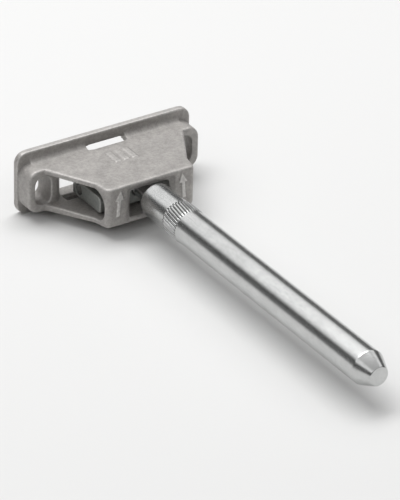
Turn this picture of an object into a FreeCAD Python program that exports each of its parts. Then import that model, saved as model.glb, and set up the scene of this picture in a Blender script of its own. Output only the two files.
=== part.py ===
import FreeCAD, Part
import math
import os
import re

import Sketcher

# Concealed shelf support: a zinc wall housing with an adjustable steel pin for a floating shelf.
# Millimetres. X runs along the wall to the right, +Y points into the wall, +Z is up.
# The origin is in the wall plane, straight behind the middle of the pin: the wall face is Y = 0,
# the pin's axis lies along -Y at X = 0 and Z = 0. Depths are distances out of the wall, along -Y.

SIZES = {
    # back plate
    "plate_width": 67.4,
    "plate_height": 22.8,
    "plate_middle": -0.5,  # height of the plate's middle above the pin axis
    "plate_corner": 4.0,
    "rim_depth": 2.2,
    # outer shape of the box
    "roof": 6.75,  # flat top face
    "root_base": 8.9,  # bottom face at the plate, below the pin axis
    "nose_base": 7.7,  # bottom face at the front, below the pin axis
    "box_depth": 31.5,
    "nose_half": 16.8,
    "shoulder_half": 17.9,
    "shoulder_depth": 25.3,
    "root_half": 27.0,
    "corner_round": 1.6,
    "edge_round": 0.7,
    # end blocks that take the wall screws
    "block_inner": 22.0,
    "block_outer": 33.3,
    "block_depth": 8.9,
    "block_corner": 4.4,
    "screw_slot_x": 27.5,
    "screw_slot_middle": -1.1,
    "screw_slot_width": 5.9,
    "screw_slot_height": 10.4,
    # room inside
    "ceiling": 4.9,
    "floor_drop": 6.2,
    "nose_wall": 2.2,
    "side_wall": 1.9,
    "back_half": 19.0,
    "sill_depth": 5.0,
    "sill_drop": 7.2,
    "gap_depth": 10.3,
    # windows in the slanted sides
    "window_front": 29.6,
    "window_round_top": 5.2,
    "window_round_low": 3.4,
    # opening in the front for the pin's neck
    "mouth_half": 7.7,
    "mouth_top": 4.0,
    "mouth_round": 1.3,
    # slot in the roof beside the rim
    "roof_slot_half": 7.5,
    "roof_slot_depth": 4.7,
    # hollow sweep between the roof and the rim
    "roof_sweep": 2.4,
    "sweep_end": 28.9,
    # lugs that carry the axle
    "lug_inner": 8.85,
    "lug_width": 2.2,
    "lug_radius": 2.6,
    # seat of the tilt screw
    "seat_depth": 20.5,
    "seat_radius": 4.5,
    "seat_drop": 10.5,
    # raised marks
    "mark_height": 0.3,
    "arrow_x": 12.3,
    "arrow_tip": 5.2,
    "arrow_head": 2.0,
    "arrow_foot": 3.9,
    "arrow_half": 1.5,
    "arrow_stem_half": 0.55,
    "arrow_lean": 0.5,
    "badge_depth": 13.0,
    "badge_pitch": 3.2,
    "badge_width": 2.0,
    "badge_length": 7.0,
    # cross axle and its clips
    "axle_depth": 11.3,
    "axle_drop": 2.8,
    "axle_radius": 2.0,
    "axle_half": 15.2,
    "axle_chamfer": 0.3,
    "groove_radius": 1.2,
    "groove_width": 0.66,
    "clip_radius": 3.0,
    "clip_thickness": 0.6,
    "clip_grip": 1.23,
    "clip_relief": 2.1,
    "clip_mouth": 1.9,
    "running_gap": 0.05,
    # carrier
    "carrier_half": 15.5,
    "carrier_back": 7.5,
    "carrier_front": 24.8,
    "carrier_drop": 5.4,
    "carrier_top": 0.4,
    "carrier_slope": 2.2,
    "carrier_slope_end": 15.3,
    "carrier_nose_round": 1.8,
    "tongue_half": 5.0,
    "wing_inner": 14.2,
    "bridge_depth": 14.8,
    "barrel_radius": 4.2,
    "stud_hole_depth": 15.2,
    # support pin
    "stud_back": 15.6,
    "stud_radius": 3.0,
    "pin_start": 33.8,
    "pin_radius": 6.0,
    "knurl_start": 48.0,
    "knurl_end": 55.3,
    "knurl_radius": 6.2,
    "knurl_ridges": 36,
    "knurl_depth": 0.34,
    "cone_start": 154.9,
    "pin_end": 161.0,
    "tip_radius": 3.3,
    "pin_round": 0.5,
    # set screws
    "tilt_radius": 2.5,
    "tilt_length": 4.9,
    "tilt_socket": 2.5,
    "tilt_gap": 0.12,
    "lock_radius": 2.0,
    "lock_length": 10.0,
    "lock_socket": 2.0,
    "lock_depth": 20.0,
    "lock_drop": 1.9,
    "lock_tip": 3.05,
    "screw_chamfer": 0.4,
    "socket_depth": 2.0,
}

ALIAS = re.compile(r"\b(" + "|".join(sorted(SIZES, key=len, reverse=True)) + r")\b")

doc = FreeCAD.newDocument("shelf_support")
sizes = doc.addObject("Spreadsheet::Sheet", "sizes")
for row, (alias, value) in enumerate(SIZES.items(), start=1):
    sizes.set(f"A{row}", alias)
    sizes.set(f"B{row}", str(value))
    sizes.setAlias(f"B{row}", alias)
doc.recompute()


def bound(text):
    """The expression with each size's name pointing at its cell."""
    return ALIAS.sub(r"sizes.\1", text)


def value_of(text):
    return float(sizes.evalExpression(text))


# ---------------------------------------------------------------- sketch helpers


def new_body(label):
    body = doc.addObject("PartDesign::Body", label)
    body.Label = label
    return body


def origin_feature(body, role):
    for feature in body.Origin.OriginFeatures:
        if feature.Role == role:
            return feature
    raise ValueError(role)


def new_sketch(body, name, plane, offset="0"):
    """A sketch on one of the body's origin planes, moved along that plane's normal."""
    sketch = body.newObject("Sketcher::SketchObject", f"{body.Name}_{name}")
    sketch.AttachmentSupport = [(origin_feature(body, plane), "")]
    sketch.MapMode = "FlatFace"
    sketch.setExpression("AttachmentOffset.Base.z", bound(f"({offset}) * 1 mm"))
    return sketch


def pin_point(sketch, geometry, end, along, up):
    """Fixes one end of a piece of geometry at a place given by two expressions."""
    for text, kind, axis in ((along, "DistanceX", -2), (up, "DistanceY", -1)):
        distance = value_of(text)
        if abs(distance) < 1e-9:
            sketch.addConstraint(Sketcher.Constraint("PointOnObject", geometry, end, axis))
            continue
        index = sketch.addConstraint(Sketcher.Constraint(kind, -1, 1, geometry, end, distance))
        sketch.setExpression(f"Constraints[{index}]", bound(f"({text}) * 1 mm"))


def add_circle(sketch, along, up, radius):
    centre = FreeCAD.Vector(value_of(along), value_of(up), 0)
    circle = Part.Circle(centre, FreeCAD.Vector(0, 0, 1), value_of(radius))
    index = sketch.addGeometry(circle, False)
    pin_point(sketch, index, 3, along, up)
    size = sketch.addConstraint(Sketcher.Constraint("Radius", index, value_of(radius)))
    sketch.setExpression(f"Constraints[{size}]", bound(f"({radius}) * 1 mm"))


def sign(number):
    return "1" if number > 0 else "-1"


def corner_points(previous, corner, following):
    """Where a square corner's round starts and ends, and its centre, as expressions."""
    along, up, radius = corner
    here = (value_of(along), value_of(up))
    ends = []
    for other in (previous, following):
        step_along = value_of(other[0]) - here[0]
        step_up = value_of(other[1]) - here[1]
        if abs(step_along) > abs(step_up):
            ends.append((f"({along}) + {sign(step_along)} * ({radius})", up))
        else:
            ends.append((along, f"({up}) + {sign(step_up)} * ({radius})"))
    start, end = ends
    centre = (start[0], end[1]) if start[1] == up else (end[0], start[1])
    return start, end, centre


def add_outline(sketch, corners):
    """A closed outline. A corner is (along, up) or, where it is square and rounded, (along, up, radius)."""
    stops = []
    for place, corner in enumerate(corners):
        if len(corner) == 2:
            stops.append((corner, corner, None, None))
        else:
            before = corners[place - 1]
            after = corners[(place + 1) % len(corners)]
            start, end, centre = corner_points(before, corner, after)
            stops.append((start, end, centre, corner[2]))
    for place, (start, end, centre, radius) in enumerate(stops):
        leave = [value_of(text) for text in end]
        arrive = [value_of(text) for text in stops[(place + 1) % len(stops)][0]]
        line = Part.LineSegment(FreeCAD.Vector(*leave, 0), FreeCAD.Vector(*arrive, 0))
        index = sketch.addGeometry(line, False)
        pin_point(sketch, index, 1, *end)
        pin_point(sketch, index, 2, *stops[(place + 1) % len(stops)][0])
        if centre is None:
            continue
        middle = [value_of(text) for text in centre]
        first = [value_of(text) for text in start]
        angle_in = math.atan2(first[1] - middle[1], first[0] - middle[0])
        angle_out = math.atan2(leave[1] - middle[1], leave[0] - middle[0])
        turns_left = (angle_out - angle_in) % (2 * math.pi) < math.pi
        low, high = (angle_in, angle_out) if turns_left else (angle_out, angle_in)
        circle = Part.Circle(FreeCAD.Vector(*middle, 0), FreeCAD.Vector(0, 0, 1), value_of(radius))
        arc = sketch.addGeometry(Part.ArcOfCircle(circle, low, high), False)
        pin_point(sketch, arc, 3, *centre)
        pin_point(sketch, arc, 1, *(start if turns_left else end))
        far = end if turns_left else start
        far_angle = angle_out if turns_left else angle_in
        # the arc's far end only needs one more coordinate, the one that moves across its radius
        if abs(math.cos(far_angle)) > 0.5:
            name, text, axis = "DistanceY", far[1], -1
        else:
            name, text, axis = "DistanceX", far[0], -2
        if abs(value_of(text)) < 1e-9:
            sketch.addConstraint(Sketcher.Constraint("PointOnObject", arc, 2, axis))
        else:
            size = sketch.addConstraint(Sketcher.Constraint(name, -1, 1, arc, 2, value_of(text)))
            sketch.setExpression(f"Constraints[{size}]", bound(f"({text}) * 1 mm"))


def box_corners(left, right, low, high, radius=None):
    corners = [(left, low), (right, low), (right, high), (left, high)]
    if radius is None:
        return corners
    return [(along, up, radius) for along, up in corners]


# ---------------------------------------------------------------- feature helpers


def pad(body, sketch, length, reverse=False, symmetric=False):
    feature = body.newObject("PartDesign::Pad", sketch.Name + "_pad")
    feature.Profile = sketch
    feature.setExpression("Length", bound(f"({length}) * 1 mm"))
    feature.Reversed = reverse
    if symmetric:
        feature.SideType = "Symmetric"
    doc.recompute()
    return feature


def pocket(body, sketch, length, reverse=False, symmetric=False):
    before = body.Shape.Volume
    feature = body.newObject("PartDesign::Pocket", sketch.Name + "_pocket")
    feature.Profile = sketch
    feature.setExpression("Length", bound(f"({length}) * 1 mm"))
    feature.Reversed = reverse
    if symmetric:
        feature.SideType = "Symmetric"
    doc.recompute()
    if body.Shape.Volume > before - 1e-4:
        raise RuntimeError(sketch.Name + " cuts nothing")
    return feature


def revolve(body, sketch, axis):
    feature = body.newObject("PartDesign::Revolution", sketch.Name + "_revolution")
    feature.Profile = sketch
    feature.ReferenceAxis = (sketch, [axis])
    feature.Angle = 360
    doc.recompute()
    return feature


def edges_where(shape, test):
    """Names of the edges whose two ends and middle pass a test."""
    names = []
    for number, edge in enumerate(shape.Edges, start=1):
        first, last = edge.FirstParameter, edge.LastParameter
        ends = [edge.valueAt(first), edge.valueAt(last)]
        middle = edge.valueAt((first + last) / 2)
        if test(ends[0], ends[1], middle):
            names.append(f"Edge{number}")
    return names


def dress(body, kind, size, test):
    """A fillet or chamfer on the edges that pass a test."""
    names = edges_where(body.Shape, test)
    if not names:
        raise RuntimeError(f"{body.Label}: no edges to dress")
    base = body.Tip
    feature = body.newObject(f"PartDesign::{kind}", f"{body.Name}_{kind.lower()}")
    feature.Base = (base, names)
    feature.setExpression("Radius" if kind == "Fillet" else "Size", bound(f"({size}) * 1 mm"))
    doc.recompute()
    body.Tip = feature
    return feature


def close(first, second, slack=0.02):
    return abs(first - second) < slack


def along_y(start, end):
    return close(start.x, end.x) and close(start.z, end.z) and not close(start.y, end.y)


def along_z(start, end):
    return close(start.x, end.x) and close(start.y, end.y) and not close(start.z, end.z)


# ---------------------------------------------------------------- housing


def housing_shell(body):
    """Back plate, tapering box and the two end blocks, with their rounded edges."""
    plate = new_sketch(body, "plate", "XZ_Plane")
    low = "plate_middle - plate_height / 2"
    high = "plate_middle + plate_height / 2"
    corners = box_corners("-plate_width / 2", "plate_width / 2", low, high, "plate_corner")
    add_outline(plate, corners)
    pad(body, plate, "rim_depth")

    right = [
        ("root_half", "0"),
        ("root_half", "-block_depth"),
        ("shoulder_half", "-shoulder_depth"),
        ("nose_half", "-box_depth"),
    ]
    left = [(f"-{along}", up) for along, up in reversed(right)]
    box = new_sketch(body, "box", "XY_Plane", "-root_base")
    add_outline(box, right + left)
    pad(body, box, "roof + root_base")

    blocks = new_sketch(body, "blocks", "XZ_Plane")
    for side in ("-1", "1"):
        inner, outer = f"{side} * block_inner", f"{side} * block_outer"
        corners = [
            (inner, "-root_base"),
            (outer, "-root_base", "block_corner"),
            (outer, "roof", "block_corner"),
            (inner, "roof"),
        ]
        add_outline(blocks, corners)
    pad(body, blocks, "block_depth")

    wedge = new_sketch(body, "wedge", "YZ_Plane")
    corners = [
        ("-block_depth", "-root_base"),
        ("-box_depth", "-nose_base"),
        ("-box_depth - 1", "-nose_base"),
        ("-box_depth - 1", "-root_base - 1"),
        ("-block_depth", "-root_base - 1"),
    ]
    add_outline(wedge, corners)
    pocket(body, wedge, "plate_width", symmetric=True)


def round_housing(body):
    """Soft cast edges: upright corners of the nose first, then the outlines of roof, base and front."""
    nose = value_of("box_depth")
    shoulder = value_of("shoulder_depth")
    roof = value_of("roof")
    block_front = value_of("block_depth")

    def upright_corner(start, end, middle):
        return along_z(start, end) and (close(middle.y, -nose) or close(middle.y, -shoulder))

    dress(body, "Fillet", "corner_round", upright_corner)

    def outline(start, end, middle):
        if along_y(start, end) or max(start.y, end.y) > -block_front + 0.02:
            return False
        if along_z(start, end) and close(abs(middle.x), value_of("root_half")):
            return False
        if abs(start.x - end.x) > 40:
            return False
        on_roof = close(start.z, roof) and close(end.z, roof)
        on_base = middle.z < -value_of("nose_base") + 0.05
        on_front = close(start.y, -nose) and close(end.y, -nose)
        on_block = close(start.y, -block_front) and close(end.y, -block_front)
        return on_roof or on_base or on_front or on_block

    dress(body, "Fillet", "edge_round", outline)


def roof_sweeps(body):
    """Hollow sweeps that join the roof to the back plate, either side of the roof slot."""
    for name, start in (("left_sweep", "-sweep_end"), ("right_sweep", "roof_slot_half")):
        sweep = new_sketch(body, name, "YZ_Plane", start)
        corners = [
            ("-rim_depth + 0.2", "roof - 0.3"),
            ("-rim_depth - roof_sweep - 0.05", "roof - 0.3"),
            ("-rim_depth - roof_sweep - 0.05", "roof"),
            ("-rim_depth", "roof", "roof_sweep"),
            ("-rim_depth", "roof + roof_sweep + 0.05"),
            ("-rim_depth + 0.2", "roof + roof_sweep + 0.05"),
        ]
        add_outline(sweep, corners)
        pad(body, sweep, "sweep_end - roof_slot_half")


def housing_room(body):
    """The hollow inside, open at the back, and what opens it to the outside."""
    room = new_sketch(body, "room", "XY_Plane", "ceiling")
    right = [
        ("back_half", "0"),
        ("back_half", "-sill_depth"),
        ("block_inner", "-block_depth"),
        ("root_half - side_wall - 1.4", "-block_depth - 2.4"),
        ("shoulder_half - side_wall", "-shoulder_depth"),
        ("nose_half - side_wall + 0.4", "-box_depth + nose_wall"),
    ]
    left = [(f"-({along})", up) for along, up in reversed(right)]
    add_outline(room, right + left)
    pocket(body, room, "ceiling + floor_drop")

    windows = new_sketch(body, "windows", "YZ_Plane")
    corners = [
        ("-block_depth", "-floor_drop"),
        ("-block_depth", "ceiling"),
        ("-window_front", "ceiling", "window_round_top"),
        ("-window_front", "-floor_drop", "window_round_low"),
    ]
    add_outline(windows, corners)
    pocket(body, windows, "plate_width", symmetric=True)

    mouth = new_sketch(body, "mouth", "XZ_Plane", "box_depth")
    corners = [
        ("-mouth_half", "-floor_drop"),
        ("mouth_half", "-floor_drop"),
        ("mouth_half", "mouth_top", "mouth_round"),
        ("-mouth_half", "mouth_top", "mouth_round"),
    ]
    add_outline(mouth, corners)
    pocket(body, mouth, "nose_wall + 0.5")

    roof_slot = new_sketch(body, "roof_slot", "XZ_Plane")
    add_outline(roof_slot, box_corners("-roof_slot_half", "roof_slot_half", "ceiling - 0.5", "roof"))
    pocket(body, roof_slot, "roof_slot_depth", reverse=True)

    sill = new_sketch(body, "sill", "XY_Plane", "-floor_drop")
    add_outline(sill, box_corners("-back_half", "back_half", "-sill_depth", "0"))
    pocket(body, sill, "sill_drop - floor_drop")

    gap = new_sketch(body, "gap", "XY_Plane", "-floor_drop + 0.5")
    add_outline(gap, box_corners("-back_half", "back_half", "-gap_depth", "-sill_depth"))
    pocket(body, gap, "plate_height / 2")

    screw_slots = new_sketch(body, "screw_slots", "XZ_Plane")
    for side in ("-1", "1"):
        left_edge = f"{side} * screw_slot_x - screw_slot_width / 2"
        right_edge = f"{side} * screw_slot_x + screw_slot_width / 2"
        low = "screw_slot_middle - screw_slot_height / 2"
        high = "screw_slot_middle + screw_slot_height / 2"
        corners = box_corners(left_edge, right_edge, low, high, "screw_slot_width / 2 - 0.02")
        add_outline(screw_slots, corners)
    pocket(body, screw_slots, "block_depth", reverse=True)


def housing_fittings(body):
    """Lugs that hold the axle, and the threaded seat of the tilt screw under the floor."""
    for name, start in (("left_lug", "-lug_inner - lug_width"), ("right_lug", "lug_inner")):
        lug = new_sketch(body, name, "YZ_Plane", start)
        corners = [
            ("-axle_depth - lug_radius", "ceiling + 0.5"),
            ("-axle_depth - lug_radius", "-axle_drop - lug_radius", "lug_radius - 0.02"),
            ("-axle_depth + lug_radius", "-axle_drop - lug_radius", "lug_radius - 0.02"),
            ("-axle_depth + lug_radius", "ceiling + 0.5"),
        ]
        add_outline(lug, corners)
        pad(body, lug, "lug_width")
    axle_hole = new_sketch(body, "axle_hole", "YZ_Plane")
    add_circle(axle_hole, "-axle_depth", "-axle_drop", "axle_radius + running_gap")
    pocket(body, axle_hole, "2 * (lug_inner + lug_width) + 1", symmetric=True)

    seat = new_sketch(body, "seat", "XY_Plane", "-seat_drop")
    add_circle(seat, "0", "-seat_depth", "seat_radius")
    pad(body, seat, "seat_drop - floor_drop - 0.4")
    seat_hole = new_sketch(body, "seat_hole", "XY_Plane", "-floor_drop + 0.5")
    add_circle(seat_hole, "0", "-seat_depth", "tilt_radius + running_gap")
    pocket(body, seat_hole, "seat_drop")


def housing_marks(body):
    """A raised upward arrow each side of the opening, and three plain raised bars on the roof."""
    arrows = new_sketch(body, "arrows", "XZ_Plane", "box_depth - 0.2")
    for side in ("-1", "1"):
        tip = f"{side} * (arrow_x - arrow_lean)"
        neck = f"{side} * arrow_x"
        foot = f"{side} * (arrow_x + arrow_lean)"
        corners = [
            (tip, "arrow_tip"),
            (f"{neck} - arrow_half", "arrow_head"),
            (f"{neck} - arrow_stem_half", "arrow_head"),
            (f"{foot} - arrow_stem_half", "-arrow_foot"),
            (f"{foot} + arrow_stem_half", "-arrow_foot"),
            (f"{neck} + arrow_stem_half", "arrow_head"),
            (f"{neck} + arrow_half", "arrow_head"),
        ]
        add_outline(arrows, corners)
    pad(body, arrows, "mark_height + 0.2")

    bars = new_sketch(body, "bars", "XY_Plane", "roof - 0.2")
    for place in ("-1", "0", "1"):
        middle = f"{place} * badge_pitch"
        low = "-badge_depth - badge_length / 2"
        high = "-badge_depth + badge_length / 2"
        corners = box_corners(f"{middle} - badge_width / 2", f"{middle} + badge_width / 2", low, high)
        add_outline(bars, corners)
    pad(body, bars, "mark_height + 0.2")


def make_housing():
    body = new_body("housing")
    housing_shell(body)
    round_housing(body)
    roof_sweeps(body)
    housing_room(body)
    housing_fittings(body)
    housing_marks(body)
    return body


# ---------------------------------------------------------------- carrier


def make_carrier():
    """Cast block that holds the pin: two side wings, a slotted rear for the lugs and a barrel for the stud."""
    body = new_body("pin_carrier")
    side = new_sketch(body, "side", "YZ_Plane")
    corners = [
        ("-carrier_back", "-carrier_drop"),
        ("-carrier_back", "carrier_top - carrier_slope"),
        ("-carrier_slope_end", "carrier_top"),
        ("-carrier_front", "carrier_top", "carrier_nose_round"),
        ("-carrier_front", "-carrier_drop", "carrier_nose_round / 2"),
    ]
    add_outline(side, corners)
    pad(body, side, "2 * carrier_half", symmetric=True)

    barrel = new_sketch(body, "barrel", "XZ_Plane", "bridge_depth")
    corners = [
        ("-barrel_radius", "carrier_top - 1"),
        ("barrel_radius", "carrier_top - 1"),
        ("barrel_radius", "barrel_radius", "barrel_radius - 0.02"),
        ("-barrel_radius", "barrel_radius", "barrel_radius - 0.02"),
    ]
    add_outline(barrel, corners)
    pad(body, barrel, "carrier_front - bridge_depth")

    slots = new_sketch(body, "slots", "XY_Plane", "carrier_top + 1")
    for wing in ("-1", "1"):
        corners = box_corners(
            f"{wing} * tongue_half", f"{wing} * wing_inner", "-bridge_depth", "-carrier_back + 1"
        )
        add_outline(slots, corners)
    pocket(body, slots, "carrier_drop + carrier_top + 2")

    axle_hole = new_sketch(body, "axle_hole", "YZ_Plane")
    add_circle(axle_hole, "-axle_depth", "-axle_drop", "axle_radius + running_gap / 2")
    pocket(body, axle_hole, "2 * carrier_half + 1", symmetric=True)

    stud_hole = new_sketch(body, "stud_hole", "XZ_Plane", "stud_hole_depth")
    add_circle(stud_hole, "0", "0", "stud_radius")
    pocket(body, stud_hole, "carrier_front", reverse=True)

    lock_hole = new_sketch(body, "lock_hole", "YZ_Plane", "carrier_half")
    add_circle(lock_hole, "-lock_depth", "-lock_drop", "lock_radius")
    pocket(body, lock_hole, "carrier_half")
    return body


# ---------------------------------------------------------------- pin


def make_pin():
    """Turned pin: thin threaded stud, 12 mm shank, a band of straight knurling and a conical end."""
    body = new_body("support_pin")
    profile = new_sketch(body, "profile", "YZ_Plane")
    stud = "stud_radius - running_gap"
    corners = [
        ("-stud_back", "0"),
        ("-stud_back", f"{stud} - pin_round"),
        ("-stud_back - pin_round", stud),
        ("-pin_start", stud),
        ("-pin_start", "pin_radius - pin_round"),
        ("-pin_start - pin_round", "pin_radius"),
        ("-knurl_start", "pin_radius"),
        ("-knurl_start - 0.3", "knurl_radius"),
        ("-knurl_end + 0.3", "knurl_radius"),
        ("-knurl_end", "pin_radius"),
        ("-cone_start", "pin_radius"),
        ("-pin_end + pin_round", "tip_radius + pin_round / 2"),
        ("-pin_end", "tip_radius - pin_round / 2"),
        ("-pin_end", "0"),
    ]
    add_outline(profile, corners)
    revolve(body, profile, "H_Axis")

    groove = new_sketch(body, "knurl", "XZ_Plane", "knurl_start")
    half = "3.1416 * knurl_radius / knurl_ridges * 0.8"
    corners = [
        (f"-({half})", "knurl_radius + 0.1"),
        ("0", "knurl_radius - knurl_depth"),
        (half, "knurl_radius + 0.1"),
    ]
    add_outline(groove, corners)
    cut = pocket(body, groove, "knurl_end - knurl_start", reverse=True)

    ring = body.newObject("PartDesign::PolarPattern", "support_pin_knurling")
    ring.Originals = [cut]
    ring.Axis = (origin_feature(body, "Y_Axis"), [""])
    ring.Angle = 360
    ring.setExpression("Occurrences", bound("knurl_ridges"))
    body.Tip = ring
    doc.recompute()
    return body


# ---------------------------------------------------------------- axle, clips and set screws


def make_axle():
    """Plain steel axle with a chamfer at each end and two grooves for the clips."""
    body = new_body("cross_axle")
    profile = new_sketch(body, "profile", "XY_Plane")
    groove_in = "tongue_half - (groove_width - clip_thickness) / 2"
    groove_out = f"{groove_in} + groove_width"
    right = [
        (groove_in, "axle_radius"),
        (groove_in, "groove_radius"),
        (groove_out, "groove_radius"),
        (groove_out, "axle_radius"),
        ("axle_half - axle_chamfer", "axle_radius"),
        ("axle_half", "axle_radius - axle_chamfer"),
        ("axle_half", "0"),
    ]
    left = [(f"-({along})", up) for along, up in reversed(right)]
    add_outline(profile, left + right)
    revolve(body, profile, "H_Axis")
    place(body, "0", "-axle_depth", "-axle_drop")
    return body


def make_clip(label, start):
    """Open retaining ring: grips the groove on three sides and is pushed on from below."""
    body = new_body(label)
    disc = new_sketch(body, "disc", "YZ_Plane")
    add_circle(disc, "0", "0", "clip_radius")
    pad(body, disc, "clip_thickness")
    bore = new_sketch(body, "bore", "YZ_Plane")
    add_circle(bore, "0", "0", "clip_grip")
    pocket(body, bore, "clip_thickness", reverse=True)
    mouth = new_sketch(body, "mouth", "YZ_Plane")
    add_outline(mouth, box_corners("-clip_mouth / 2", "clip_mouth / 2", "-clip_radius - 1", "0"))
    pocket(body, mouth, "clip_thickness", reverse=True)
    relief = new_sketch(body, "relief", "YZ_Plane")
    for side in ("-1", "1"):
        add_circle(relief, f"{side} * clip_relief * 0.5", "clip_relief * 0.36", "clip_relief * 0.32")
    pocket(body, relief, "clip_thickness", reverse=True)
    place(body, start, "-axle_depth", "-axle_drop")
    return body


def make_set_screw(label, radius, length, socket, gap):
    """Headless screw along +Z with a chamfered point on top and a hexagon socket in its lower end."""
    body = new_body(label)
    profile = new_sketch(body, "profile", "XZ_Plane")
    edge = f"{radius} - {gap}"
    corners = [
        ("0", "0"),
        (f"{edge} - screw_chamfer / 2", "0"),
        (edge, "screw_chamfer / 2"),
        (edge, f"{length} - screw_chamfer"),
        (f"{edge} - screw_chamfer", length),
        ("0", length),
    ]
    add_outline(profile, corners)
    revolve(body, profile, "V_Axis")
    hexagon = new_sketch(body, "hexagon", "XY_Plane")
    corners = [
        (f"{socket} / 2 / cos(30) * cos({60 * side + 30})", f"{socket} / 2 / cos(30) * sin({60 * side + 30})")
        for side in range(6)
    ]
    add_outline(hexagon, corners)
    pocket(body, hexagon, "socket_depth", reverse=True)
    return body


def place(body, along, out, up):
    for axis, text in (("x", along), ("y", out), ("z", up)):
        body.setExpression(f"Placement.Base.{axis}", bound(f"({text}) * 1 mm"))
    doc.recompute()


def make_tilt_screw():
    body = make_set_screw("tilt_screw", "tilt_radius", "tilt_length", "tilt_socket", "0")
    place(body, "0", "-seat_depth", "-carrier_drop - tilt_gap - tilt_length")
    return body


def make_lock_screw():
    body = make_set_screw("pin_lock_screw", "lock_radius", "lock_length", "lock_socket", "running_gap")
    body.Placement.Rotation = FreeCAD.Rotation(FreeCAD.Vector(0, 1, 0), -90)
    place(body, "lock_tip + lock_length", "-lock_depth", "-lock_drop")
    return body


# ---------------------------------------------------------------- assembly and export

nodes = [
    make_housing(),
    make_carrier(),
    make_pin(),
    make_axle(),
    make_clip("axle_clip_left", "-tongue_half - clip_thickness"),
    make_clip("axle_clip_right", "tongue_half"),
    make_tilt_screw(),
    make_lock_screw(),
]
doc.recompute()

for item in doc.Objects:
    if "Invalid" in item.State or "Error" in item.State:
        raise RuntimeError(f"{item.Name} failed: {item.State}")

os.makedirs("parts", exist_ok=True)
for node in nodes:
    shape = node.Shape
    if shape.isNull() or not shape.isValid() or len(shape.Solids) != 1:
        raise RuntimeError(f"{node.Label} is not one valid solid")
    shape.exportStep(f"parts/{node.Label}.step")
    box = shape.BoundBox
    print(
        f"{node.Label}: {shape.Volume:.1f} mm3, X {box.XMin:.2f} {box.XMax:.2f},"
        f" Y {box.YMin:.2f} {box.YMax:.2f}, Z {box.ZMin:.2f} {box.ZMax:.2f}"
    )
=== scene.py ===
import math

import bpy
import numpy as np
from mathutils import Matrix, Vector


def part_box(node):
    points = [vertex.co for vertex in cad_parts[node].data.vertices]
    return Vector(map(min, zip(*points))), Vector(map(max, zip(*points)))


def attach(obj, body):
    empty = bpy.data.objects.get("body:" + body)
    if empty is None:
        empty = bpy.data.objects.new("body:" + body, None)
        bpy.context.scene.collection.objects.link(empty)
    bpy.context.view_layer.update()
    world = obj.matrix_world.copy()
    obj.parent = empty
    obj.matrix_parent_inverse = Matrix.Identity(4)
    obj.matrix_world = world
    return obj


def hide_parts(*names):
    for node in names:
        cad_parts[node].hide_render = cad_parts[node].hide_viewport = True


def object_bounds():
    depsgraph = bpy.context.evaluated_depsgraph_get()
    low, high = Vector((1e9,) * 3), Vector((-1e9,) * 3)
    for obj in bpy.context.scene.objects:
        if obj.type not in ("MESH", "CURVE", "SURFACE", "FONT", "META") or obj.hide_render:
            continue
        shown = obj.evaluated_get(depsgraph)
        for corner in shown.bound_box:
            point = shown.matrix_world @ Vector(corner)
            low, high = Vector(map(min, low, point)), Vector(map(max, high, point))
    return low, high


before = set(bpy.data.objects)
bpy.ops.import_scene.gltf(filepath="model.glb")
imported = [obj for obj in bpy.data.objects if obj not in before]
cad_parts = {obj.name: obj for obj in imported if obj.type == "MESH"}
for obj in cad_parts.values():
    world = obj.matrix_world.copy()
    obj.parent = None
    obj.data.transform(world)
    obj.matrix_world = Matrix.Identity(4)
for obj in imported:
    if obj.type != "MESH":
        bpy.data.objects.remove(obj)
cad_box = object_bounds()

# Concealed shelf support. Every visible piece is a dense mesh built here, in metres, in the frame of the CAD model.
MM = 0.001
WEAR = 0.20  # how far smoothing has to move a point, in mm, for a full edge weight or a full hollow weight


# ---------------------------------------------------------------- meshes

def new_object(name, points, faces, smooth=True):
    """A mesh object from points in metres and faces as lists of indices."""
    mesh = bpy.data.meshes.new(name)
    mesh.from_pydata([tuple(p) for p in points], [], faces)
    mesh.update()
    obj = bpy.data.objects.new(name, mesh)
    bpy.context.scene.collection.objects.link(obj)
    for polygon in mesh.polygons:
        polygon.use_smooth = smooth
    return obj


def coordinates(mesh):
    flat = np.empty(len(mesh.vertices) * 3, np.float32)
    mesh.vertices.foreach_get("co", flat)
    return flat.reshape(-1, 3).astype(np.float64)


def edge_pairs(mesh):
    flat = np.empty(len(mesh.edges) * 2, np.int32)
    mesh.edges.foreach_get("vertices", flat)
    return flat.reshape(-1, 2)


def averaged(values, pairs, rounds, share=0.5):
    """Values spread over the mesh's edges: each round mixes a point with the mean of its neighbours."""
    count = len(values)
    a, b = pairs[:, 0], pairs[:, 1]
    degree = np.bincount(a, minlength=count) + np.bincount(b, minlength=count)
    degree = np.maximum(degree, 1)[:, None]
    out = values.copy()
    for _ in range(rounds):
        total = np.empty_like(out)
        for k in range(out.shape[1]):
            total[:, k] = np.bincount(a, out[b, k], count) + np.bincount(b, out[a, k], count)
        out = out * (1 - share) + total / degree * share
    return out


def modified(obj, kind, **settings):
    """The object's mesh with one modifier applied."""
    modifier = obj.modifiers.new("step", kind)
    for key, value in settings.items():
        setattr(modifier, key, value)
    graph = bpy.context.evaluated_depsgraph_get()
    mesh = bpy.data.meshes.new_from_object(obj.evaluated_get(graph))
    obj.modifiers.clear()
    old = obj.data
    obj.data = mesh
    bpy.data.meshes.remove(old)


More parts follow.
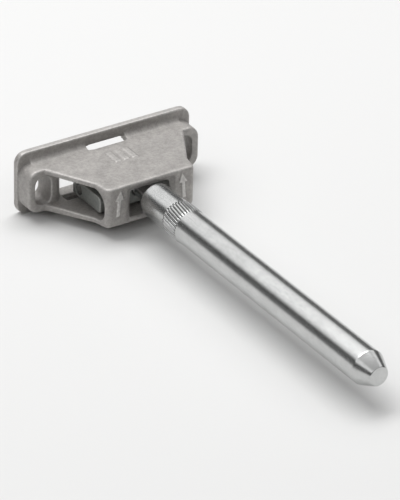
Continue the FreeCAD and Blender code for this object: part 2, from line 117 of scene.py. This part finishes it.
def cast_copy(name, cad_node, voxel, rounds, faces, softer=None, shape=None, marks_wear_and_highlight=None):
    """A dense copy of a CAD node with soft edges that show wear, as a casting has, and its edge and hollow weights.
    softer is (rounds, crisp), where crisp gives the share of each point that stays at the first number of rounds.
    shape may then reshape the points, in mm. The last argument gives the share of wear on raised marks and of a
    painted highlight on the top edge of the back plate."""
    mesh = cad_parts[cad_node].data.copy()
    mesh.transform(Matrix.Scale(1 / MM, 4))
    obj = bpy.data.objects.new(name, mesh)
    bpy.context.scene.collection.objects.link(obj)
    modified(obj, "REMESH", mode="VOXEL", voxel_size=voxel, adaptivity=0.0)
    points = coordinates(obj.data)
    pairs = edge_pairs(obj.data)
    normals = np.empty(len(points) * 3, np.float32)
    obj.data.vertices.foreach_get("normal", normals)
    normals = averaged(normals.reshape(-1, 3).astype(np.float64), pairs, 2)
    soft = averaged(points, pairs, rounds)
    wide = averaged(soft, pairs, 24)
    if softer is not None:
        crisp = averaged(softer[1](points)[:, None], pairs, 6)
        soft = soft * crisp + averaged(soft, pairs, softer[0] - rounds) * (1 - crisp)
    if shape is not None:
        soft = shape(soft)
    bend = ((wide - points) * normals).sum(1)
    low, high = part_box(cad_node)
    soft = np.clip(soft, np.array(low) / MM, np.array(high) / MM)
    obj.data.vertices.foreach_set("co", soft.astype(np.float32).ravel())
    attribute = obj.data.attributes.new("edge", "FLOAT", "POINT")
    wear_and_highlight = np.clip(-bend / WEAR, 0, 1)
    # The edge weight holds edge wear and, from the last argument, wear on raised marks and a painted highlight on
    # the back plate's top edge.
    if marks_wear_and_highlight is not None:
        wear_and_highlight = np.clip(wear_and_highlight * 0.55 + marks_wear_and_highlight(soft), 0, 1)
    attribute.data.foreach_set("value", wear_and_highlight.astype(np.float32))
    attribute = obj.data.attributes.new("hollow", "FLOAT", "POINT")
    attribute.data.foreach_set("value", np.clip(bend / WEAR, 0, 1).astype(np.float32))
    triangles = sum(len(p.vertices) - 2 for p in obj.data.polygons)
    if triangles > faces:
        modified(obj, "DECIMATE", ratio=faces / triangles)
    obj.data.transform(Matrix.Scale(MM, 4))
    obj.data.polygons.foreach_set("use_smooth", np.ones(len(obj.data.polygons), bool))
    obj.data.update()
    return obj


def turned(name, profile, segments, centre, axis, radius_at=None):
    """A turned piece: profile is (distance along axis, radius) in mm, closed at both ends by points of radius 0.
    radius_at(angle, distance, radius) may reshape it, for knurls, threads and sockets."""
    axis = Vector(axis).normalized()
    side = Vector((0, 0, 1)) if abs(axis.z) < 0.9 else Vector((0, 1, 0))
    side = (side - axis * side.dot(axis)).normalized()
    other = axis.cross(side)
    points, faces, rings = [], [], []
    for distance, radius in profile:
        if radius == 0:
            points.append(Vector(centre) + axis * distance)
            rings.append([len(points) - 1] * segments)
            continue
        ring = []
        for i in range(segments):
            angle = 2 * math.pi * i / segments
            d, r = (distance, radius) if radius_at is None else radius_at(angle, distance, radius)
            outward = side * (r * math.cos(angle)) + other * (r * math.sin(angle))
            points.append(Vector(centre) + axis * d + outward)
            ring.append(len(points) - 1)
        rings.append(ring)
    for low, high in zip(rings, rings[1:]):
        for i in range(segments):
            j = (i + 1) % segments
            face = [low[i], low[j], high[j], high[i]]
            face = [v for n, v in enumerate(face) if v not in face[:n]]
            faces.append(face)
    return new_object(name, [p * MM for p in points], faces)


def rounded(corners, steps=5):
    """A profile from corners (distance, radius, rounding), each rounded between its straight runs."""
    out = [corners[0][:2]]
    for before, here, after in zip(corners, corners[1:], corners[2:]):
        p, q, r = Vector(before[:2]), Vector(here[:2]), Vector(after[:2])
        a, b = p - q, r - q
        cut = min(here[2], a.length * 0.48, b.length * 0.48)
        if cut < 1e-4:
            out.append(tuple(q))
            continue
        start, end = q + a.normalized() * cut, q + b.normalized() * cut
        for n in range(steps + 1):
            t = n / steps
            out.append(tuple(start * (1 - t) ** 2 + q * 2 * t * (1 - t) + end * t**2))
    out.append(corners[-1][:2])
    return out


def filled(profile, longest):
    """The profile with points added so that no run is longer than longest."""
    out = [profile[0]]
    for (d0, r0), (d1, r1) in zip(profile, profile[1:]):
        count = max(1, math.ceil(math.hypot(d1 - d0, r1 - r0) / longest))
        for n in range(1, count + 1):
            t = n / count
            out.append((d0 + (d1 - d0) * t, r0 + (r1 - r0) * t))
    return out


# ---------------------------------------------------------------- materials

def material(name):
    made = bpy.data.materials.new(name)
    made.use_nodes = True
    tree = made.node_tree
    return made, tree, tree.nodes["Principled BSDF"]


def node(tree, kind, **values):
    """A shader node, with its properties and unlinked inputs set."""
    made = tree.nodes.new(kind)
    for key, value in values.items():
        if key in made.bl_rna.properties:
            setattr(made, key, value)
        else:
            made.inputs[key.replace("_", " ")].default_value = value
    return made


def coordinate(tree, scale=(1, 1, 1)):
    """The piece's own coordinates in mm, stretched by scale."""
    place = node(tree, "ShaderNodeTexCoord")
    mapping = node(tree, "ShaderNodeMapping")
    mapping.inputs["Scale"].default_value = [s / MM for s in scale]
    tree.links.new(place.outputs["Object"], mapping.inputs["Vector"])
    return mapping.outputs["Vector"]


def noise(tree, vector, scale, detail=4.0, roughness=0.55):
    made = node(tree, "ShaderNodeTexNoise", Scale=scale, Detail=detail, Roughness=roughness)
    tree.links.new(vector, made.inputs["Vector"])
    return made.outputs["Fac"]


def ramp(tree, value, stops):
    """A colour ramp: stops are (position, grey or colour)."""
    made = node(tree, "ShaderNodeValToRGB")
    elements = made.color_ramp.elements
    while len(elements) < len(stops):
        elements.new(0.5)
    for element, (position, colour) in zip(elements, stops):
        element.position = position
        element.color = (*colour, 1) if isinstance(colour, tuple) else (colour, colour, colour, 1)
    tree.links.new(value, made.inputs["Fac"])
    return made.outputs["Color"]


def mixed(tree, share, first, second, blend="MIX"):
    made = node(tree, "ShaderNodeMix", data_type="RGBA", blend_type=blend)
    colour_inputs = [s for s in made.inputs if s.type == "RGBA"]
    factor = [s for s in made.inputs if s.type == "VALUE"][0]
    for socket, value in ((factor, share), (colour_inputs[0], first), (colour_inputs[1], second)):
        if isinstance(value, bpy.types.NodeSocket):
            tree.links.new(value, socket)
        elif isinstance(value, tuple):
            socket.default_value = (*value, 1)
        else:
            socket.default_value = value
    return [s for s in made.outputs if s.type == "RGBA"][0]


def maths(tree, operation, first, second=None, clamp=False):
    made = node(tree, "ShaderNodeMath", operation=operation, use_clamp=clamp)
    for socket, value in zip(made.inputs, (first, second)):
        if isinstance(value, bpy.types.NodeSocket):
            tree.links.new(value, socket)
        elif value is not None:
            socket.default_value = value
    return made.outputs[0]


def weight(tree, name):
    made = node(tree, "ShaderNodeAttribute", attribute_name=name)
    return made.outputs["Fac"]


def bumps(tree, shader, layers):
    """Bump layers on top of each other: (height, depth in mm)."""
    normal = None
    for height, depth in layers:
        made = node(tree, "ShaderNodeBump", Strength=1.0, Distance=depth * MM)
        tree.links.new(height, made.inputs["Height"])
        if normal is not None:
            tree.links.new(normal, made.inputs["Normal"])
        normal = made.outputs["Normal"]
    tree.links.new(normal, shader.inputs["Normal"])


def scaled(tone, factor):
    """The colour, lighter or darker by a factor."""
    return tuple(c * factor for c in tone)


def casting(name, tone):
    """Tumbled zinc casting: matt warm grey, fine pitted grain, bright edges that show wear, dull darker hollows. On
    the housing the edge weight also brings a painted highlight along the top edge of the back plate.
    """
    made, tree, shader = material(name)
    place = coordinate(tree)
    cloud = noise(tree, place, 0.22, 5.0, 0.6)
    patch = noise(tree, place, 1.1, 4.0, 0.6)
    grain = noise(tree, place, 5.5, 5.0, 0.65)
    fine = noise(tree, place, 16.0, 3.0, 0.6)
    base = ramp(tree, cloud, [(0.30, scaled(tone, 0.86)), (0.72, scaled(tone, 1.12))])
    speckle = ramp(tree, patch, [(0.35, 0.86), (0.65, 1.10)])
    base = mixed(tree, 1.0, base, speckle, "MULTIPLY")
    pits = ramp(tree, grain, [(0.36, 0.62), (0.52, 1.0)])
    base = mixed(tree, 0.55, base, pits, "MULTIPLY")
    hollow = maths(tree, "MULTIPLY", weight(tree, "hollow"), 0.45)
    base = mixed(tree, hollow, base, scaled(tone, 0.42))
    # Bright edges: edge wear, and on the housing a painted highlight along the back plate's top edge.
    wear_and_highlight = maths(tree, "MULTIPLY", weight(tree, "edge"), maths(tree, "MULTIPLY", patch, 1.3), True)
    base = mixed(tree, maths(tree, "MULTIPLY", wear_and_highlight, 0.85), base, (0.78, 0.765, 0.745))
    tree.links.new(base, shader.inputs["Base Color"])
    rough = ramp(tree, grain, [(0.30, 0.60), (0.70, 0.47)])
    rough = mixed(tree, wear_and_highlight, rough, (0.33, 0.33, 0.33))
    tree.links.new(rough, shader.inputs["Roughness"])
    shader.inputs["Metallic"].default_value = 0.45
    bumps(tree, shader, [(patch, 0.05), (grain, 0.045), (fine, 0.014)])
    return made


def stretched(along, length, across):
    """A scale for coordinates: one value along the piece's axis, another across it."""
    return tuple(length if k == along else across for k in range(3))


def steel(name, tone, along, rough=(0.19, 0.29), depth=0.004):
    """Zinc-plated turned steel: satin grain, faint rings from the lathe, light drawn scratches, cloudy plating, and
    painted shade in grooves and hollows.
    """
    made, tree, shader = material(name)
    place = coordinate(tree)
    ring = noise(tree, coordinate(tree, stretched(along, 6.0, 0.5)), 1.0, 3.0, 0.6)
    scratch = noise(tree, coordinate(tree, stretched(along, 0.25, 5.0)), 1.0, 3.0, 0.6)
    cloud = noise(tree, place, 0.14, 4.0, 0.6)
    spot = noise(tree, place, 1.6, 5.0, 0.7)
    grain = noise(tree, place, 7.0, 4.0, 0.65)
    base = ramp(tree, cloud, [(0.30, scaled(tone, 0.92)), (0.70, scaled(tone, 1.06))])
    base = mixed(tree, 0.30, base, ramp(tree, scratch, [(0.36, 0.70), (0.60, 1.05)]), "MULTIPLY")
    base = mixed(tree, 0.40, base, ramp(tree, spot, [(0.32, 0.72), (0.55, 1.04)]), "MULTIPLY")
    base = mixed(tree, 0.35, base, ramp(tree, grain, [(0.34, 0.62), (0.56, 1.06)]), "MULTIPLY")
    # Painted shade: the hollow weight darkens the knurl's grooves and the clips' hollows towards a dark tone, as
    # shade falls in them.
    groove = maths(tree, "MULTIPLY", weight(tree, "hollow"), 0.75)
    base = mixed(tree, groove, base, scaled(tone, 0.22))
    tree.links.new(base, shader.inputs["Base Color"])
    uneven = ramp(tree, mixed(tree, 0.5, spot, grain), [(0.35, rough[1]), (0.65, rough[0])])
    tree.links.new(uneven, shader.inputs["Roughness"])
    shader.inputs["Metallic"].default_value = 1.0
    bumps(tree, shader, [(ring, depth * 0.5), (scratch, depth * 0.5), (grain, depth)])
    return made


# ---------------------------------------------------------------- pieces

def place_piece(obj, cad_node, body, finish):
    obj.data.materials.clear()
    obj.data.materials.append(finish)
    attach(obj, body)
    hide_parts(cad_node)


ZINC = casting("zinc_casting", (0.395, 0.378, 0.362))
# Painted shade: the carrier gets the same zinc casting made darker and greener, as it sits in the housing's shade.
ZINC_SHADED = casting("zinc_casting_carrier_painted_shade", (0.30, 0.31, 0.295))
PLATED = steel("plated_pin", (0.62, 0.625, 0.62), 1)
AXLE_STEEL = steel("plated_axle", (0.50, 0.51, 0.50), 0)
DARK = steel("blackened_steel", (0.10, 0.10, 0.105), 1, (0.34, 0.50))

FRONT, ROOF = 31.5, 6.75
MOUTH = (7.7, -6.2, 4.0)  # half width, floor and top of the opening in the front


def within(value, low, high, edge=0.3):
    """1 inside low..high, falling to 0 over edge."""
    return np.clip((value - low) / edge + 1, 0, 1) * np.clip((high - value) / edge + 1, 0, 1)


def crisp_parts(points):
    """The raised marks, the lugs, the tilt screw's seat, the roof slot's ends and the rim keep their edges."""
    x, depth, z = np.abs(points[:, 0]), -points[:, 1], points[:, 2]
    arrows = within(x, 9.6, 15.2) * within(depth, FRONT - 0.25, FRONT + 1) * within(z, -4.6, 6.2)
    badge = within(x, 0, 5.6) * within(depth, 8.5, 17.5) * within(z, ROOF - 0.25, ROOF + 1)
    lugs = within(x, 8.4, 11.4) * within(depth, 7.9, 14.7) * within(z, -6.0, 3.5)
    seat = within(x, 0, 5.0) * within(depth, 15.5, 25.5) * within(z, -12.0, -5.6)
    slot = within(x, 6.4, 8.3) * within(depth, 1.9, 5.5) * within(z, 4.2, 7.3)
    outer = np.maximum.reduce([within(x, 31.6, 40), within(z, 9.0, 20), within(z, -20, -10.2)])
    rim = 0.75 * within(depth, -1, 2.4) * outer
    return np.maximum.reduce([arrows, badge, lugs, seat, slot, rim])


def mouth_frame(points):
    """A sloping border round the opening in the front, as the die leaves it."""
    half, low, high = MOUTH
    x, depth, z = np.abs(points[:, 0]), -points[:, 1], points[:, 2]
    across = np.maximum(x - half, 0)
    above = np.maximum(z - high, 0) + np.maximum(low - z, 0)
    away = np.hypot(across, above)
    limit = FRONT - 0.62 * np.clip(1.7 - away, 0, None)
    near = (away < 1.7) & (depth > 29.4) & (x < half + 2) & (z > low - 1.4)
    out = points.copy()
    out[:, 1] = np.where(near, -np.minimum(depth, limit), points[:, 1])
    return out


def marks_worn_and_rim_highlight(points):
    """The tops of the raised marks are made brighter by wear; the top edge of the back plate gets a painted
    highlight.
    """
    x, depth, z = np.abs(points[:, 0]), -points[:, 1], points[:, 2]
    arrow_tops = within(depth, FRONT + 0.17, FRONT + 1, 0.08)
    arrows = 0.8 * within(x, 9.8, 15.0, 0.1) * arrow_tops * within(z, -4.4, 6.0, 0.1)
    badge = 0.15 * within(x, 0, 5.6) * within(depth, 8.5, 17.5) * within(z, ROOF + 0.17, ROOF + 1, 0.08)
    # Painted highlight: the top edge of the back plate is made brighter, as where light falls on it.
    plate = 0.35 * within(depth, -1, 2.3) * within(z, 10.4, 20)
    return np.maximum.reduce([arrows, badge, plate])


housing = cast_copy("housing_casting", "housing", 0.17, 5, 190000, (34, crisp_parts), mouth_frame, marks_worn_and_rim_highlight)
place_piece(housing, "housing", "wall_housing", ZINC)


def crisp_holes(points):
    """The axle's hole and the lock screw's thread keep their edges."""
    x, depth, z = np.abs(points[:, 0]), -points[:, 1], points[:, 2]
    axle = np.clip((3.0 - np.hypot(depth - 11.3, z + 2.8)) / 0.4, 0, 1)
    lock = np.clip((2.6 - np.hypot(depth - 20, z + 1.9)) / 0.4, 0, 1) * (x > 13)
    return np.maximum(axle, lock)


carrier = cast_copy("carrier_casting", "pin_carrier", 0.12, 6, 90000, (30, crisp_holes))
place_piece(carrier, "pin_carrier", "carrier_set", ZINC_SHADED)

# The pin: threaded stud, neck, smooth shank, knurled band and cone. Distances run out of the wall.
KNURL_START, KNURL_END, KNURL_SLANT, RIDGES = 48.0, 55.3, 0.0227, 36


def thread(angle, distance, pitch, depth):
    """How far a thread's flanks lie below its crest."""
    turn = (distance / pitch - angle / (2 * math.pi)) % 1.0
    return depth * min(1.0, abs(turn - 0.5) * 2.6)


def pin_surface(angle, distance, radius):
    """Slanting grooves that run out at both ends of the band, and the thread of the stud."""
    if radius > 5.9 and KNURL_START - 0.3 <= distance <= KNURL_END + 0.3:
        fade = min(1.0, (distance - KNURL_START + 0.3) / 0.8, (KNURL_END + 0.3 - distance) / 1.4)
        wave = 0.5 + 0.5 * math.cos((angle - KNURL_SLANT * (distance - KNURL_START)) * RIDGES)
        groove = 0.42 * max(0.0, 1 - wave / 0.5)
        return distance, 6.0 + fade * (0.2 - groove)
    if abs(radius - 2.95) < 0.01 and distance < 26:
        return distance, radius - thread(angle, distance, 1.0, 0.42)
    return distance, radius


FINE_START, FINE_END = 46.0, 57.0  # the stretch round the knurled band that needs short steps
pin_corners = rounded([
    (15.6, 0, 0), (15.6, 2.5, 0), (16.1, 2.95, 0), (26.0, 2.95, 0), (33.8, 2.95, 0), (33.8, 6.0, 0.8),
    (FINE_START, 6.0, 0), (FINE_END, 6.0, 0),
    (154.9, 6.0, 0.18), (158.2, 4.65, 2.0), (161.0, 3.35, 0.3), (161.0, 0, 0),
])


def pin_step(end):
    """The longest step along the pin's profile up to end, in mm: fine on the thread, coarse on the shank."""
    distance, radius = end
    if distance < 27:
        return 0.17
    return 0.36 if radius < 5.9 or distance < 36 or distance == FINE_END else 1.4


pin_profile = []
for start, end in zip(pin_corners, pin_corners[1:]):
    pin_profile += filled([start, end], pin_step(end))[:-1]
pin_profile.append(pin_corners[-1])
pin = turned("pin_turned", pin_profile, RIDGES * 10, (0, 0, 0), (0, -1, 0), pin_surface)
# The knurl's grooves get a hollow weight, which the plated finish turns into painted shade.
pin_points = coordinates(pin.data) / MM
band = within(-pin_points[:, 1], KNURL_START, KNURL_END, 0.1)
lowered = np.clip((6.16 - np.hypot(pin_points[:, 0], pin_points[:, 2])) / 0.30, 0, 1)
hollow = pin.data.attributes.new("hollow", "FLOAT", "POINT")
hollow.data.foreach_set("value", (band * lowered).astype(np.float32))
place_piece(pin, "support_pin", "carrier_set", PLATED)

# The axle across the carrier, with a groove for a clip on each side of the tongue.
axle_corners = [(0, 0, 0), (0, 1.7, 0.05), (0.3, 2.0, 0.1)]
for groove in (9.57, 20.17):
    groove_end = groove + 0.66
    axle_corners += [(groove, 2.0, 0.05), (groove, 1.2, 0.05), (groove_end, 1.2, 0.05), (groove_end, 2.0, 0.05)]
axle_corners += [(30.1, 2.0, 0.1), (30.4, 1.7, 0.05), (30.4, 0, 0)]
axle = turned("axle_turned", filled(rounded(axle_corners, 3), 0.8), 96, (-15.2, -11.3, -2.8), (1, 0, 0))
place_piece(axle, "cross_axle", "axle_set", AXLE_STEEL)

for side in ("left", "right"):
    clip = cast_copy(f"clip_{side}", f"axle_clip_{side}", 0.06, 4, 30000)
    place_piece(clip, f"axle_clip_{side}", "axle_set", DARK)


def set_screw(name, radius, length, pitch, socket, centre, axis):
    """A headless screw: hexagon socket in its first end, rolled thread, chamfered point."""

    def surface(angle, distance, ring):
        if ring <= socket + 0.4:
            share = min(1.0, max(0.0, (ring - socket) / 0.3))
            corner = math.cos((angle + math.pi / 6) % (math.pi / 3) - math.pi / 6)
            return distance, ring * (share + (1 - share) / corner)
        if ring > radius - 0.02 and 0.3 < distance < length - 0.45:
            return distance, ring - thread(angle, distance, pitch, pitch * 0.42)
        return distance, ring

    corners = [
        (2.3, 0, 0), (2.0, socket, 0), (0.12, socket, 0), (0.0, socket + 0.12, 0), (0.0, radius - 0.3, 0.05),
        (0.3, radius, 0.05), (length - 0.45, radius, 0.05), (length, radius - 0.45, 0.08), (length, 0, 0),
    ]
    return turned(name, filled(rounded(corners, 3), 0.1), 96, centre, axis, surface)


tilt = set_screw("tilt_set_screw", 2.5, 4.9, 0.8, 1.25, (0, -20.5, -10.42), (0, 0, 1))
place_piece(tilt, "tilt_screw", "tilt_screw_body", DARK)
lock = set_screw("lock_set_screw", 1.95, 10.0, 0.7, 1.0, (13.05, -20, -1.9), (-1, 0, 0))
place_piece(lock, "pin_lock_screw", "carrier_set", DARK)


# ---------------------------------------------------------------- floor, light and camera

def area_light(name, place, target, size, power):
    data = bpy.data.lights.new(name, "AREA")
    data.shape = "RECTANGLE"
    data.size, data.size_y = size
    data.energy = power
    obj = bpy.data.objects.new(name, data)
    bpy.context.scene.collection.objects.link(obj)
    obj.location = place
    obj.rotation_mode = "QUATERNION"
    obj.rotation_quaternion = (Vector(target) - Vector(place)).to_track_quat("-Z", "Y")


FLOOR, FLOOR_HALF = cad_box[0].z, 2.0
floor_corners = [(x * FLOOR_HALF, y * FLOOR_HALF, FLOOR) for x, y in ((-1, -1), (1, -1), (1, 1), (-1, 1))]
floor = new_object("floor", floor_corners, [[0, 1, 2, 3]], False)
floor_finish, _, floor_shader = material("pale_floor")
floor_shader.inputs["Base Color"].default_value = (0.74, 0.74, 0.736, 1)
floor_shader.inputs["Roughness"].default_value = 0.9
floor.data.materials.append(floor_finish)

centre = Vector((0, -0.06, 0))
area_light("overhead", (0.0, 0.30, 1.02), centre, (1.2, 0.5), 9.4)

world = bpy.data.worlds.new("studio")
bpy.context.scene.world = world
world.use_nodes = True
sky = world.node_tree
background = sky.nodes["Background"]
background.inputs["Strength"].default_value = 1.0
direction = sky.nodes.new("ShaderNodeTexCoord")
parts = sky.nodes.new("ShaderNodeSeparateXYZ")
sky.links.new(direction.outputs["Generated"], parts.inputs["Vector"])
# The surroundings are dim near the horizon, bright from 30 degrees up and weaker overhead. The backdrop is pale.
HEIGHTS = [(0.0, 0.24), (0.20, 0.12), (0.38, 0.04), (0.46, 0.08), (0.53, 1.14), (0.70, 1.08), (0.85, 0.50)]
shade = ramp(sky, parts.outputs["Z"], HEIGHTS)
seen = sky.nodes.new("ShaderNodeLightPath").outputs["Is Camera Ray"]
sky.links.new(mixed(sky, seen, shade, (0.86, 0.86, 0.86)), background.inputs["Color"])

# Camera: azimuth, elevation and roll in degrees, and a long lens.
AZIMUTH, ELEVATION, ROLL = -33.613, 30.246, 1.376
AIM = Vector((0.739, -60.0, -6.3)) * MM
DISTANCE = 1264.27 * MM
SENSOR = 36
FOCAL_LENGTH = 3913.2 * SENSOR / 500
a, e, r = (math.radians(v) for v in (AZIMUTH, ELEVATION, ROLL))
back = Vector((math.sin(a) * math.cos(e), -math.cos(a) * math.cos(e), math.sin(e)))
right = Vector((math.cos(a), math.sin(a), 0))
up = back.cross(right)
right, up = right * math.cos(r) + up * math.sin(r), up * math.cos(r) - right * math.sin(r)
camera_data = bpy.data.cameras.new("camera")
camera_data.lens = FOCAL_LENGTH
camera_data.sensor_width = SENSOR
camera_data.clip_start, camera_data.clip_end = 0.05, 20
camera = bpy.data.objects.new("camera", camera_data)
bpy.context.scene.collection.objects.link(camera)
camera.matrix_world = Matrix.Translation(AIM + back * DISTANCE) @ Matrix((right, up, back)).transposed().to_4x4()
bpy.context.scene.camera = camera
bpy.context.scene.view_settings.view_transform = "Standard"
